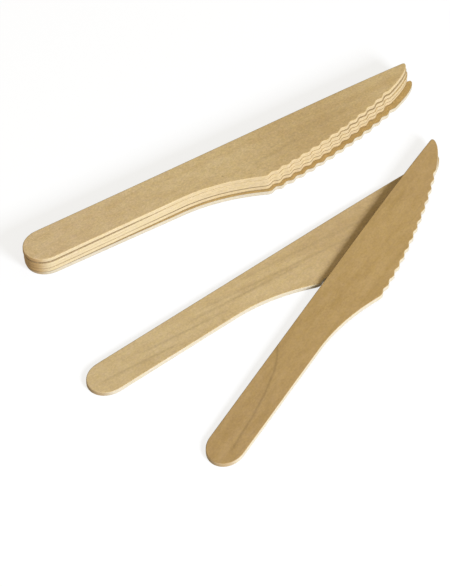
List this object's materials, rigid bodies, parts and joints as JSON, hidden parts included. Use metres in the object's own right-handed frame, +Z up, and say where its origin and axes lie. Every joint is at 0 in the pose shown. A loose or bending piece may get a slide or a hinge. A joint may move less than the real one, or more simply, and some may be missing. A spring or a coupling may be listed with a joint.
{
  "type": "wooden cutlery pack",
  "caption": "Flat birch-wood table knives with a round-ended handle and a scalloped edge, some in a neat stack and a crossed pair beside it.",
  "frame": {"origin": "on the table, under the middle of the whole set's footprint", "axes": "+Z up from the table; +Y away from the viewer, the longest way across the set; the stack lies to the left and back with its points towards +X +Y"},
  "size_m": [0.1516, 0.1786, 0.0105],
  "materials": {
    "birch_pale": "bare sanded birch veneer, matt, with pale cut edges",
    "birch_ochre": "bare sanded birch veneer of a darker, more ochre sheet, matt"
  },
  "bodies": {
    "root": {"stack_knife_1": "birch_pale", "stack_knife_2": "birch_pale", "stack_knife_3": "birch_pale", "stack_knife_4": "birch_pale", "stack_knife_5": "birch_pale", "loose_knife_lower": "birch_pale", "loose_knife_upper": "birch_ochre"}
  },
  "joints": []
}
